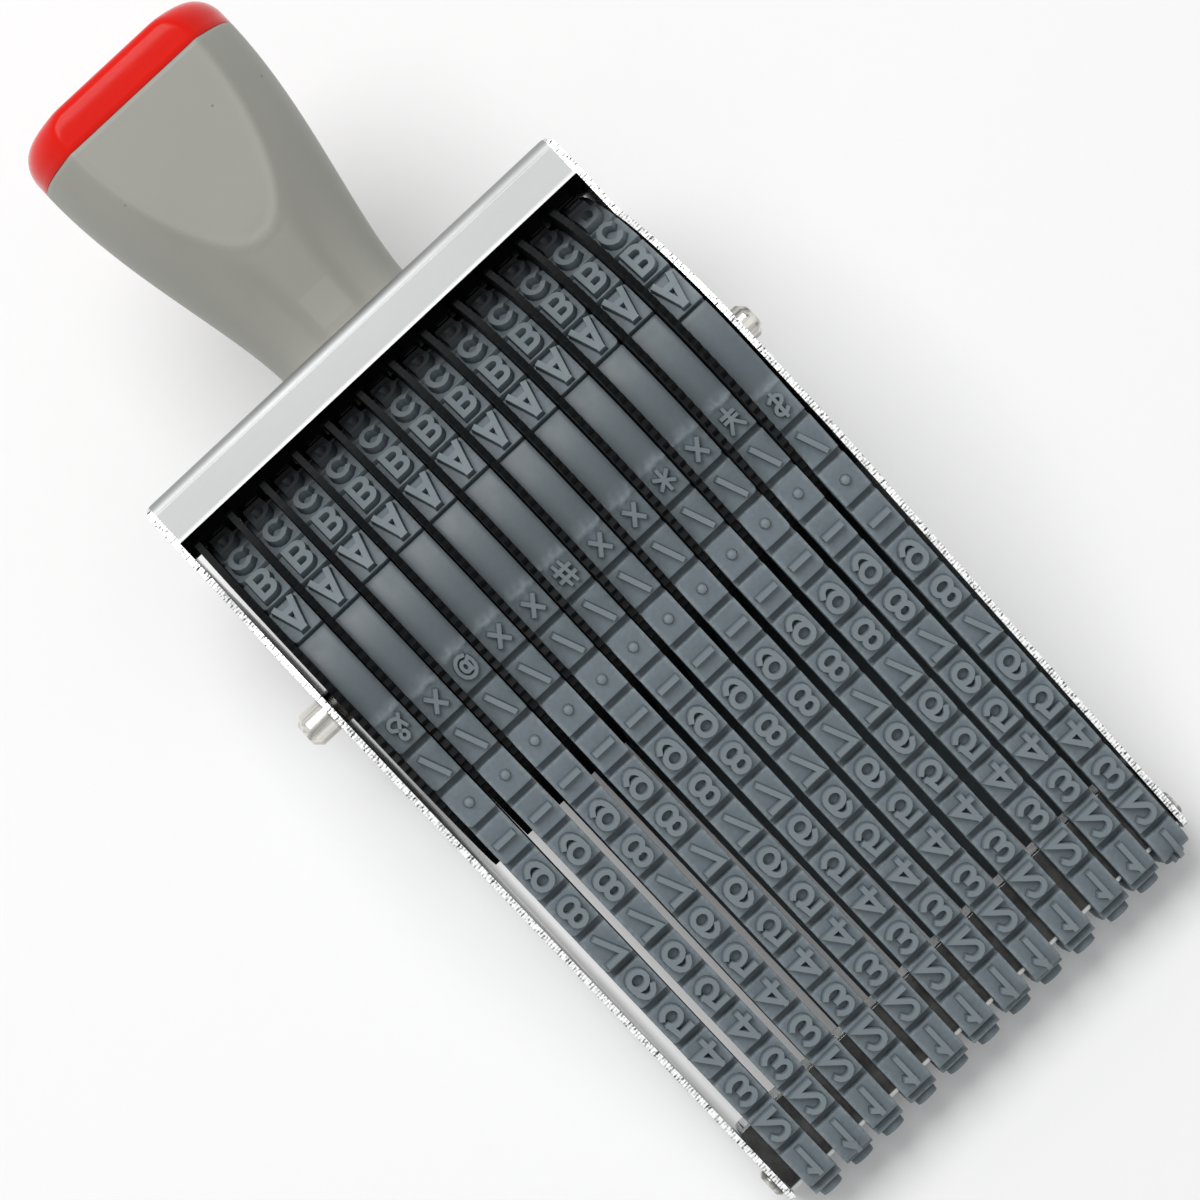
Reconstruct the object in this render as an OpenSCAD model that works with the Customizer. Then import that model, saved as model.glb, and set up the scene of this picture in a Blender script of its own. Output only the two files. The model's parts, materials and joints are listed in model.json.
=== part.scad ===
// Roller stamp with twelve rubber character bands, lying on its back.
// Each band runs round the drum of its own thumb wheel and round a folded nose.
// Pieces are drawn upright: X along the axle, the front towards -Y, Z up from the print face.

/* [Frame] */
// Width over the two side walls
frame_w = 67; // [64:0.5:90]
// Thickness of the folded sheet
sheet = 0.8; // [0.6:0.1:1]
// Height of the axle above the print face
axle_z = 83.5; // [75:0.5:100]
// Height of the top plate's upper face above the axle
plate_rise = 32.8; // [31.5:0.1:45]
// Depth of the top plate, front to back
plate_d = 23; // [21.5:0.5:26]
// Height of the lip folded down along the plate's front
lip_h = 5.9; // [3:0.1:6.4]
// Gap between the lower lip at the back and the wheels' rims
back_lip_gap = 0.45; // [0.3:0.05:1.5]
// Outer radius of the folds
fold_r = 1.6; // [1:0.1:2.2]
// Radius of the side walls round the axle
wall_r = 23.2; // [21:0.1:24.5]
// Drop of the side walls' hip below the axle
hip_drop = 16; // [8:0.5:24]
// Half depth of the side walls at the hip
hip_half = 22.4; // [20:0.1:23]
// Half depth of the side walls at the foot
foot_half = 5; // [4:0.1:5.6]
// Height of the side walls' foot above the print face
foot_lift = 1.6; // [1:0.1:2.4]
// Radius of the foot's corners
foot_r = 1.5; // [0.5:0.1:2]

/* [Handle] */
// Height of the grey handle
handle_h = 37.2; // [28:0.2:50]
// Half width of the handle at its base
base_half_w = 10; // [9:0.1:14]
// Half depth of the handle at its base
base_half_d = 9.8; // [9:0.1:10.5]
// Half width of the handle at its top
top_half_w = 15.5; // [14:0.1:20]
// Half depth that the swelling sides reach at the top, before the facet cuts them
top_half_d = 15.2; // [13.5:0.1:18]
// Half depth of the flat front and back facets
facet_half = 12; // [11:0.1:13]
// Softness of the facets' edges
facet_soft = 0.8; // [0.4:0.1:3]
// Wall of the hollow handle
handle_wall = 2.2; // [1.6:0.1:3]
// Solid floor of the handle, which takes the screws
handle_floor = 9; // [7:0.5:12]
// Height of the cap
cap_h = 5.4; // [4.8:0.1:10]
// How far the cap's rounded shoulders draw in at the sides
shoulder_in = 3.1; // [2:0.1:5]
// How far the cap's rounded shoulders fall
shoulder_drop = 3.8; // [2:0.1:4.5]
// Depth of the cap's plug in the handle
plug_h = 2.5; // [1.5:0.1:5]

/* [Wheels] */
// Radius over the serrations of a thumb wheel
rim_r = 27.5; // [26:0.1:28.5]
// Depth of the serrations
tooth_h = 0.6; // [0.3:0.05:1]
// Serrations on each wheel
tooth_count = 116; // [60:2:160]
// Thickness of the serrated rim
rim_t = 0.85; // [0.6:0.05:1]
// Radius of the drum that carries the band
drum_r = 22; // [20:0.1:23]
// Wall of the drum
drum_wall = 2; // [1.2:0.1:4]
// Radius of the hub
hub_r = 5; // [4:0.1:8]
// Axial gap between neighbouring wheels
wheel_gap = 0.15; // [0.1:0.05:0.3]
// Gap between the last wheel and the right side wall
wall_gap = 0.47; // [0.2:0.01:0.8]
// Free room between the left side wall and the first wheel
stack_free = 1; // [0.5:0.01:2.5]

/* [Bands] */
// Side gap on each side of a band
band_side_gap = 0.12; // [0.1:0.01:0.3]
// Thickness of a band's web
band_web = 1; // [0.8:0.1:1.2]
// Height of the pads on the web
pad_h = 1; // [0.6:0.1:1.4]
// Height of the characters on the pads
type_h = 1; // [0.6:0.1:1.5]
// Pitch of the pads with digits and signs
front_cell = 6.15; // [5.6:0.01:6.6]
// Groove between two of those pads
groove = 0.87; // [0.5:0.01:1.5]
// Groove between two pads with letters
letter_groove = 0.7; // [0.4:0.01:1.2]
// Smooth stretch between the signs and the letters
blank_len = 11.4; // [5:0.1:20]
// Running gap between a band and what it runs on
band_gap = 0.15; // [0.1:0.01:0.3]

/* [Nose] */
// Half depth of a band's inner face under the nose
nose_half = 3.8; // [3.2:0.1:4.4]
// Radius of a band's inner face at the nose
nose_corner = 1.1; // [1:0.1:1.3]
// Length of the nose plate's legs along the bands
nose_leg = 9.4; // [6:0.1:14]
// Radius of the legs' corners
nose_round = 0.8; // [0.3:0.1:1.5]
// Height of the rivets above the print face
rivet_z = 4.4; // [4.3:0.1:6]
// Diameter of the rivets' shanks
rivet_d = 2; // [1.5:0.1:2.4]
// Diameter of the rivets' outer heads
rivet_head_d = 3.8; // [3:0.1:4.4]
// Height of the rivets' outer heads
rivet_head_h = 0.9; // [0.5:0.1:1.5]

/* [Axle and screws] */
// Diameter of the axle
axle_d = 4.8; // [4:0.1:6]
// Reach of the axle beyond the left side wall
axle_left = 4.3; // [2:0.1:8]
// Reach of the axle beyond the right side wall
axle_right = 4.3; // [2:0.1:8]
// Bevel on the axle's ends
axle_bevel = 0.9; // [0.3:0.1:1.5]
// Radial running clearance of the wheels on the axle
axle_gap = 0.08; // [0.05:0.01:0.1]
// Distance between the two handle screws
screw_span = 11; // [9:0.5:13]
// Diameter of the screws' shanks
screw_d = 3; // [2.5:0.1:3.5]
// Diameter of the screws' heads
screw_head_d = 5.6; // [5:0.1:7]
// Height of the screws' heads
screw_head_h = 1.6; // [1:0.1:2]
// How far the screws reach into the handle
screw_reach = 7; // [4:0.5:8]

/* [Hidden] */
band_count = 12;
// Characters from the print face up the front: ten digits and four signs, then the letters
front_pads = 14;
letter_pads = 26;
// How far each band is turned towards the nose, left to right
band_turn = [-0.65, -0.05, -0.65, -0.55, -0.45, -0.65, -0.25, -0.1, -0.65, -0.6, -0.5, 2.25];
// Radial clearance of shanks and the axle in their holes
hole_gap = 0.05;
// Clearance of the cap's plug and of the nose plate's ends
seat_gap = 0.1;
// Radius of the clinched ends of the rivets over their shanks
clinch_over = 0.3;
clinch_h = 0.5;
// Steps round the drum, a nose corner and a fold
drum_steps = 48;
corner_steps = 4;
fold_steps = 8;
// Points round the handle, and its levels
ring_points = 56;
handle_levels = 14;
cavity_levels = 5;
shoulder_levels = 5;
// Exponent of the handle's rounded sections, and how early the handle widens
section_power = 2.2;
widen_early = 0.85;
// Inset of the cap's front and back edges
cap_edge_in = 2.4;
past = 1;
$fn = 64;

plate_z = axle_z + plate_rise;
inner_half_w = frame_w / 2 - sheet;
// Inside of the lips, and the lower edge of the one at the back, just clear of the rims
lip_y = plate_d / 2 - sheet;
back_lip_z = axle_z + sqrt(pow(rim_r, 2) - pow(lip_y, 2)) + back_lip_gap;
// The stack of wheels and bands fills the room between the side walls
stack_x = stack_free - inner_half_w;
wheel_pitch = (inner_half_w - wall_gap + wheel_gap - stack_x) / band_count;
band_room = wheel_pitch - rim_t;
band_w = band_room - 2 * band_side_gap;
drum_w = band_room - wheel_gap;
bore_r = axle_d / 2 + axle_gap;

// Middle line of a band's web: flat under the nose, a corner, a run, the drum, and back
loop_r = drum_r + band_gap + band_web / 2;
corner_r = nose_corner + band_web / 2;
flat_half = nose_half - nose_corner;
corner_z = pad_h + band_web + nose_corner;
run_rise = axle_z - corner_z;
run_span = norm([flat_half, run_rise]);
run_lean = asin((loop_r - corner_r) / run_span) - atan2(flat_half, run_rise);
run_len = sqrt(pow(run_span, 2) - pow(loop_r - corner_r, 2));
corner_len = corner_r * (90 - run_lean) * PI / 180;
wrap_len = loop_r * (180 + 2 * run_lean) * PI / 180;
corner_at = flat_half;
run_at = corner_at + corner_len;
drum_at = run_at + run_len;
back_run_at = drum_at + wrap_len;
back_corner_at = back_run_at + run_len;
back_flat_at = back_corner_at + corner_len;
loop_len = back_flat_at + flat_half;
letters_at = (front_pads - 0.5) * front_cell + blank_len;
letter_cell = (loop_len - front_cell / 2 - letters_at) / letter_pads;

// Lying on its back, the stamp rests on the wheels' rims and on the type round the nose
nose_outer = nose_corner + band_web + pad_h + type_h;
rest_tilt = asin((rim_r - nose_outer) / run_span) - atan2(flat_half, run_rise);

function two_digits(i) = str(i < 10 ? "0" : "", i);
function wheel_name(i) = str("wheel_", two_digits(i));
function band_name(i) = str("band_", two_digits(i));
function wheel_x(i) = stack_x + (i - 1) * wheel_pitch;

// A place on the loop is [y, z, angle of the outward normal]
function along(place, len) =
    [place[0] + len * sin(place[2]), place[1] - len * cos(place[2]), place[2]];
function round_arc(centre, r, start, len) =
    let (a = start - len / r * 180 / PI)
    [centre[0] + r * cos(a), centre[1] + r * sin(a), a];
front_corner = [-flat_half, corner_z];
back_corner = [flat_half, corner_z];
front_foot = round_arc(front_corner, corner_r, -90, corner_len);
back_head = round_arc([0, axle_z], loop_r, front_foot[2], wrap_len);
function loop_place(s) =
    s < corner_at ? along([0, corner_z - corner_r, -90], s) :
    s < run_at ? round_arc(front_corner, corner_r, -90, s - corner_at) :
    s < drum_at ? along(front_foot, s - run_at) :
    s < back_run_at ? round_arc([0, axle_z], loop_r, front_foot[2], s - drum_at) :
    s < back_corner_at ? along(back_head, s - back_run_at) :
    s < back_flat_at ? round_arc(back_corner, corner_r, back_head[2], s - back_corner_at) :
    along([flat_half, corner_z - corner_r, -450], s - back_flat_at);
function loop_point(s, out) =
    let (p = loop_place(s - loop_len * floor(s / loop_len)))
    [p[0] + out * cos(p[2]), p[1] + out * sin(p[2])];

// Places where the loop bends, over one turn before and after as well
function spread(start, len, steps) = [for (k = [0:steps]) start + len * k / steps];
bends = concat(
    spread(corner_at, corner_len, corner_steps),
    spread(drum_at, wrap_len, drum_steps),
    spread(back_corner_at, corner_len, corner_steps)
);
all_bends = [for (turn = [-1:1], b = bends) b + turn * loop_len];
function stretch(start, end, out) = concat(
    [loop_point(start, out)],
    [for (b = all_bends) if (b > start && b < end) loop_point(b, out)],
    [loop_point(end, out)]
);
function reversed(list) = [for (k = [len(list) - 1:-1:0]) list[k]];

// Pads as [start, end] along the loop: the last front pad runs on into the smooth stretch
function pad_span(start, cell, gap) = [start + gap / 2, start + cell - gap / 2];
function front_span(k) = pad_span((k - 0.5) * front_cell, front_cell, groove);
pads = concat(
    [for (k = [0:front_pads - 2]) front_span(k)],
    [[front_span(front_pads - 1)[0], letters_at]],
    [for (k = [0:letter_pads - 1]) pad_span(letters_at + k * letter_cell, letter_cell, letter_groove)]
);
function band_outside(turn) = [
    for (pad = pads) each concat(
        [loop_point(pad[0] - turn, band_web / 2)],
        stretch(pad[0] - turn, pad[1] - turn, band_web / 2 + pad_h),
        [loop_point(pad[1] - turn, band_web / 2)]
    )
];

// Half of a wall's outline, from the foot to the plate's rounded edge
function corner_arc(centre, r, start, end) =
    [for (k = [0:fold_steps]) let (a = start + (end - start) * k / fold_steps)
        [centre[0] + r * cos(a), centre[1] + r * sin(a)]];
neck_angle = acos(plate_d / 2 / wall_r);
foot_slope = atan2(hip_half - foot_half, axle_z - hip_drop - foot_lift);
wall_half = concat(
    corner_arc([foot_half - foot_r, foot_lift + foot_r], foot_r, -90, -foot_slope),
    [[hip_half, axle_z - hip_drop]],
    corner_arc([0, axle_z], wall_r, 0, neck_angle),
    corner_arc([plate_d / 2 - fold_r, plate_z - fold_r], fold_r, 0, 90)
);
function mirrored(half) = concat(half, reversed([for (p = half) [-p[0], p[1]]]));

// Sections of the handle: rounded, with the front and back drawn flat
function smooth_step(t) = t * t * (3 - 2 * t);
function widening(t) = smooth_step(pow(t, widen_early));
function soft_min(a, b, soft) =
    let (h = max(soft - abs(a - b), 0) / soft)
    min(a, b) - h * h * soft / 4;
function rounded(c, half) = half * sign(c) * pow(abs(c), 2 / section_power);
function ring(z, half_w, half_d, flat) = [
    for (k = [0:ring_points - 1])
        let (a = 360 * k / ring_points, y = rounded(sin(a), half_d))
        [rounded(cos(a), half_w), sign(y) * soft_min(abs(y), flat, facet_soft), z]
];
function handle_ring(t, inset) = ring(
    plate_z + handle_h * t,
    base_half_w + (top_half_w - base_half_w) * widening(t) - inset,
    base_half_d + (top_half_d - base_half_d) * widening(t) - inset,
    facet_half - inset
);
function top_ring(z, inset) =
    ring(plate_z + handle_h + z, top_half_w - inset, top_half_d - inset, facet_half - inset);
function shoulder_ring(t) = ring(
    plate_z + handle_h + cap_h - shoulder_drop * (1 - sin(90 * t)),
    top_half_w - shoulder_in * (1 - cos(90 * t)),
    top_half_d - shoulder_in * (1 - cos(90 * t)),
    facet_half - cap_edge_in * pow(1 - cos(90 * t), 2)
);
plug_inset = handle_wall + seat_gap;
cap_rings = concat(
    [top_ring(-plug_h, plug_inset), top_ring(0, plug_inset), top_ring(0, 0)],
    [for (k = [0:shoulder_levels]) shoulder_ring(k / shoulder_levels)]
);

// Closed skin over a stack of rings
module loft(rings) {
    n = len(rings[0]);
    top = len(rings) - 1;
    sides = [
        for (j = [0:top - 1], k = [0:n - 1])
            let (a = j * n + k, b = j * n + (k + 1) % n)
            each [[a, a + n, b], [b, a + n, b + n]]
    ];
    ends = [[for (k = [0:n - 1]) k], [for (k = [n - 1:-1:0]) top * n + k]];
    polyhedron(points = [for (r = rings) each r], faces = concat(sides, ends));
}

// Lays an upright piece on its back, on the surface, with the part's box centred
function lying_y(p) = p[1] * sin(rest_tilt) + p[2] * cos(rest_tilt);
nose_reach = nose_corner + band_web + pad_h;
low_y = lying_y([0, -flat_half, corner_z]) - nose_reach;
high_y = max([for (r = cap_rings, p = r) lying_y(p)]);
module on_table() {
    translate([(axle_left - axle_right) / 2, -(low_y + high_y) / 2, rim_r - axle_z * sin(rest_tilt)])
        rotate([rest_tilt - 90, 0, 0]) children();
}

// Draws a side outline, in Y and Z, as a slab from x along +X
module across(x, w) {
    translate([x, 0, 0]) rotate([90, 0, 90]) linear_extrude(w) children();
}
// Places a shape turned about its Z axis along +X
module along_x(x, z) {
    translate([x, 0, z]) rotate([0, 90, 0]) children();
}

module frame() {
    front = concat(
        [[frame_w / 2, 0]],
        corner_arc([frame_w / 2 - fold_r, plate_z - fold_r], fold_r, 0, 90)
    );
    lip_z = plate_z - lip_h;
    color("gainsboro") on_table() difference() {
        intersection() {
            rotate([90, 0, 0]) linear_extrude(2 * wall_r + past, center = true) polygon(mirrored(front));
            across(-frame_w / 2 - past, frame_w + 2 * past) polygon(mirrored(wall_half));
        }
        translate([-inner_half_w, -wall_r - past, 0]) cube([2 * inner_half_w, wall_r + past, lip_z]);
        translate([-inner_half_w, -past, 0]) cube([2 * inner_half_w, wall_r + 2 * past, back_lip_z]);
        translate([-inner_half_w, -lip_y, back_lip_z - past])
            cube([2 * inner_half_w, 2 * lip_y, plate_z - sheet - back_lip_z + past]);
        along_x(-frame_w / 2 - past, axle_z) cylinder(r = axle_d / 2 + hole_gap, h = frame_w + 2 * past);
        along_x(-frame_w / 2 - past, rivet_z) cylinder(r = rivet_d / 2 + hole_gap, h = frame_w + 2 * past);
        for (side = [-1, 1]) translate([side * screw_span / 2, 0, plate_z - sheet - past])
            cylinder(r = screw_d / 2 + hole_gap, h = sheet + 2 * past);
    }
}

module handle() {
    t_floor = handle_floor / handle_h;
    color("darkgray") on_table() difference() {
        loft([for (k = [0:handle_levels]) handle_ring(k / handle_levels, 0)]);
        loft(concat(
            [for (k = [0:cavity_levels]) handle_ring(t_floor + (1 - t_floor) * k / cavity_levels, handle_wall)],
            [top_ring(past, handle_wall)]
        ));
        for (side = [-1, 1]) translate([side * screw_span / 2, 0, plate_z - past])
            cylinder(r = screw_d / 2 + hole_gap, h = screw_reach + hole_gap + past);
    }
}

module handle_cap() {
    color("red") on_table() loft(cap_rings);
}

module handle_screws() {
    color("silver") on_table() for (side = [-1, 1])
        translate([side * screw_span / 2, 0, plate_z - sheet]) union() {
            translate([0, 0, -screw_head_h]) cylinder(d = screw_head_d, h = screw_head_h);
            cylinder(d = screw_d, h = sheet + screw_reach);
        }
}

module axle() {
    length = axle_left + frame_w + axle_right;
    r = axle_d / 2;
    outline = [
        [0, 0], [r - axle_bevel, 0], [r, axle_bevel],
        [r, length - axle_bevel], [r - axle_bevel, length], [0, length]
    ];
    color("silver") on_table() along_x(-frame_w / 2 - axle_left, axle_z) rotate_extrude() polygon(outline);
}

module nose_plate() {
    reach = run_at + nose_leg;
    face = -band_web / 2 - band_gap;
    inside = stretch(-reach, reach, face - sheet);
    x = seat_gap - inner_half_w;
    top = loop_point(reach, face - sheet)[1];
    outline = concat([[-x, 0]], corner_arc([-x - nose_round, top - nose_round], nose_round, 0, 90));
    color("dimgray") on_table() difference() {
        intersection() {
            union() {
                across(x, -2 * x) polygon(concat(stretch(-reach, reach, face), reversed(inside)));
                for (end_x = [x, -x - sheet]) across(end_x, sheet) polygon(inside);
            }
            rotate([90, 0, 0]) linear_extrude(2 * wall_r, center = true) polygon(mirrored(outline));
        }
        along_x(x - past, rivet_z) cylinder(r = rivet_d / 2 + hole_gap, h = 2 * (past - x));
    }
}

module nose_rivet() {
    grip = 2 * sheet + seat_gap;
    r = rivet_d / 2;
    head_r = rivet_head_d / 2;
    outline = [
        [0, -clinch_h], [r + clinch_over, -clinch_h], [r + clinch_over, 0], [r, 0], [r, grip],
        [head_r, grip], [head_r, grip + rivet_head_h / 2], [head_r - rivet_head_h / 2, grip + rivet_head_h],
        [0, grip + rivet_head_h]
    ];
    along_x(frame_w / 2 - grip, rivet_z) rotate_extrude() polygon(outline);
}

module nose_rivets() {
    color("silver") on_table() for (side = [0, 1]) mirror([side, 0, 0]) nose_rivet();
}

// A serrated disc with a drum and a hub on its right face
module wheel(i) {
    serration = 180 / tooth_count;
    color([0.08, 0.08, 0.09]) on_table() along_x(wheel_x(i), axle_z) union() {
        linear_extrude(rim_t) difference() {
            polygon([for (k = [0:2 * tooth_count - 1])
                let (r = rim_r - (k % 2) * tooth_h, a = k * serration) r * [cos(a), sin(a)]]);
            circle(bore_r);
        }
        translate([0, 0, rim_t]) rotate_extrude() {
            translate([bore_r, 0]) square([hub_r - bore_r, drum_w]);
            translate([drum_r - drum_wall, 0]) square([drum_wall, drum_w]);
        }
    }
}

module band(i) {
    color("slategray") on_table() across(wheel_x(i) + rim_t + band_side_gap - wheel_gap / 2, band_w) difference() {
        polygon(band_outside(band_turn[i - 1]));
        polygon(stretch(0, loop_len, -band_web / 2));
    }
}

frame();
handle();
handle_cap();
handle_screws();
axle();
nose_plate();
nose_rivets();
for (i = [1:band_count]) wheel(i);
for (i = [1:band_count]) band(i);
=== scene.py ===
"""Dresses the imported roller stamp: twelve rubber bands with raised type, handle, cap, metal and studio.

The upright stamp's own axes are used throughout: x along the axle, y to the back, z up from the print face.
"""
import json
import math

import bmesh
import bpy
import numpy as np
from mathutils import Matrix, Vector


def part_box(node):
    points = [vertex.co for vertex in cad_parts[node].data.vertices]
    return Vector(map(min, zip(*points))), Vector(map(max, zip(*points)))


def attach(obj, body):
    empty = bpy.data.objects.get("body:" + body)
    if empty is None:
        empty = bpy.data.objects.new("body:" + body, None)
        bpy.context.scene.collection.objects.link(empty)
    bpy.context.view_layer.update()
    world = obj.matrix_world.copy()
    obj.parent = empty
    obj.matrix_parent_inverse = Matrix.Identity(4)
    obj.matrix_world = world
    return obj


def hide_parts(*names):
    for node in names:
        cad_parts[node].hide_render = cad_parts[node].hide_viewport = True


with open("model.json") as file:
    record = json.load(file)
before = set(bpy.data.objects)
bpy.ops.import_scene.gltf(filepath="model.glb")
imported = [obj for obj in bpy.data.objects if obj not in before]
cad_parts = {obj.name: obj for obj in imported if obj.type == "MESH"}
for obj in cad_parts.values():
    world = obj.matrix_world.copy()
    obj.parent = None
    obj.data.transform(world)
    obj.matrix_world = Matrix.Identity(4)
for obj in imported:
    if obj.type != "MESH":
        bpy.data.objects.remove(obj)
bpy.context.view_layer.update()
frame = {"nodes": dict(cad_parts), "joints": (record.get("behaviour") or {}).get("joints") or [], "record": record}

bl_info = {
    "name": "Roller stamp",
    "version": (1, 0, 0),
    "blender": (4, 5, 0),
    "location": "3D View > Sidebar > Stamp",
    "description": "Rubber type bands, handle, metal parts and studio of a twelve-band hand stamp",
    "category": "Object",
}

BAND_COUNT = 12
FIRST_SIGNS = "0123456789-./"
LAST_SIGN = ("&", "x", "@", "x", "x", "#", "x", "x", "*", "x", "yen", "$")
LETTERS = "ABCDEFGHIJKLMNOPQRSTUVWXYZ"
MM = 0.001
CENTIMETRE = 0.01
# How far each band is turned towards the nose, and how far it leans sideways there, in millimetres
BAND_TURN = (-0.65, -0.05, -0.65, -0.55, -0.45, -0.65, -0.25, -0.1, -0.65, -0.6, -0.5, 2.25)
BAND_LEAN = (0.0, 0.0, -0.2, 0.0, 0.05, 0.0, 0.0, 0.0, 0.15, 0.55, 0.3, 0.0)
# Which bands' pads have a rounded corner at their lower left, 1, or lower right, -1, and its radius
BAND_ROUND = (1, 0, 0, 0, 0, 0, 0, 0, 0, -1, 0, 0)
CORNER_ROUND = 0.0007
# The rubber's slack past the drum's top, and its spread to the right there: amount, place and length
SLACK = 0.00115
SLACK_PLACE = 0.003
SLACK_LENGTH = 0.008
SPREAD = 0.00017
SPREAD_PLACE = -0.004
SPREAD_LENGTH = 0.016
# The moulding flash after the last sign: width, height, how far it lies short of the pad's end, the size of
# its waves as a share of the width, their turns along x and from band to band, and its steepness each way
FLASH_WIDTH = 0.0005
FLASH_HEIGHT = 0.00026
FLASH_BACK = 0.001
FLASH_WAVE = 0.35
FLASH_TURNS = ((2300, 1.7), (5100, 2.9))
FLASH_STEEP = (2.2, 0.7)
# How worn the flash is, and how fast the smooth stretch sets in past it, by the flash's width
FLASH_WORN = 1.5
SMOOTH_FADE = 0.5
# Samples round a band, on each of its corners at the nose and across its flat middle, and that middle's span;
# and the places of extra samples in a rounded corner and over the flash, as shares of their size
BAND_SAMPLES = 170
CORNER_SAMPLES = 9
MIDDLE_SAMPLES = 6
MIDDLE_SPAN = (0.15, 0.85)
ROUND_PLACES = (0.25, 0.45, 0.7)
FLASH_PLACES = (-2.4, -1.2, -0.5, 0.2, 1, 2.2)
# Decimals that a sample's length is rounded to, and the least distance between two samples
SAMPLE_DIGITS = 7
SAMPLE_APART = 2e-6
# A soft edge's first turn and the band's inner chamfer as shares of the edge, and how worn a pad's steps are
EDGE_TURN = 0.3
CHAMFER = 0.7
EDGE_WORN = (0, 1, 1, 0.25)
# The relief value of a band's web and of its pads, which also sets the rubber's painted shade; the type runs
# from 0 at its foot to 1 on top
WEB_RELIEF = 0.25
PAD_RELIEF = 0.5
# The handle's rounded sections: points, power, levels and how early it widens
RING_POINTS = 160
SECTION_POWER = 2.2
HANDLE_LEVELS = 56
SHOULDER_LEVELS = 18
WIDEN_EARLY = 0.85
# The side scoops: depth, how far they fade in below the facet, and where in the half width they begin, get
# to full depth, rise again and end; and the bead along the facet's edge
SCOOP = 0.0009
SCOOP_FADE = 0.005
SCOOP_SPAN = (0.2, 0.45, 0.5, 1.0)
BEAD = 0.00022
BEAD_WIDTH = 0.0005
# Inset of the cap's front and back edges, and the broken edges at the parting line
CAP_EDGE = 0.0024
PARTING = 0.00012
# Angles in degrees past which an edge stays sharp, on the bands and on the handle
BAND_SHARP = 32
HANDLE_SHARP = 50
# The metal pieces: node, name, width of the broken edges and slot; and the angle past which an edge is broken
METAL = (
    ("frame", "plated_frame", 0.00012, "frame_chrome"),
    ("nose_plate", "plated_nose", 0.00008, "nose_steel"),
    ("axle", "turned_axle", 0.00012, "axle_nickel"),
    ("nose_rivets", "domed_rivets", 0.0002, "steel"),
)
BROKEN_ANGLE = 30
# How far below the lip the rubber's painted shade reaches, and the depth in which the lip's edge, with its painted
# highlight, is found
LIP_SHADE_REACH = 0.025
LIP_EDGE = 0.002
# How far in front of a face of the frame the axle lies, at least, where the face is inside the fold and painted
# nearly black as shade
FOLD_INSIDE = 0.004
# Width of the frame's outer band that holds the cut edges of its walls, and the step of the ridges on them
WALL_BAND = 0.00095
RIDGE_STEP = 0.00045
# The camera in the stamp's own axes, its roll in degrees, its lens and sensor in millimetres and its far clip
CAMERA_PLACE = (-0.0237, -0.5406, 0.0709)
CAMERA_TARGET = (-0.00012, 0, 0.0709)
CAMERA_ROLL = 43.3
LENS = 132
SENSOR = 36
FAR_CLIP = 20
# Half side and points a side of the floor, the world's light on surfaces, how far the floor is lifted to
# white, the stretch under the stamp where painted light lifts it more (how far left it starts, its width and
# length), the height that the lamps aim at, and the lamps: name, place, size and watts
FLOOR_HALF = 1.6
FLOOR_POINTS = 9
WORLD_LEVEL = 0.44
FLOOR_LIFT = 0.12
PAINTED_LIGHT_START = 0.035
PAINTED_LIGHT_WIDTH = 0.05
PAINTED_LIGHT_LENGTH = 0.1
SIGHT_HEIGHT = 0.0709
LAMPS = (("soft_key", (-0.1, 0.36, 1.03), (0.75, 0.6), 8.4),)
# Merging distance of points, and the angle in degrees under which a seam is flat
MERGE = 1e-6
FLAT_SEAM = 0.5
# Strokes: degrees a step and fewest steps on an arc, metres a step on a straight, the sharpest mitre, how far
# a stroke's foot is sunk into its pad, how much bolder letters are, and how crossing strokes differ in height
ARC_STEP = 24
ARC_LEAST = 4
STROKE_STEP = 0.0011
MITRE_LIMIT = 0.42
SINK = 0.00005
LETTER_STROKE = 1.15
STROKE_LAYER = 0.000004
# Height of the small signs and of the dot as a share of the type's, and the dot's sides, the shares of its
# radius at its shoulder and top, and the share of its height at the shoulder
SMALL_HEIGHT = 0.7
DOT_HEIGHT = 0.65
DOT_SIDES = 8
DOT_SHOULDER = 0.8
DOT_TOP = 0.35
DOT_SHOULDER_HEIGHT = 0.75
# Lengths and slopes that are too small to divide by
TINY = 1e-9
LEAST_SLOPE = 0.05

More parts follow.
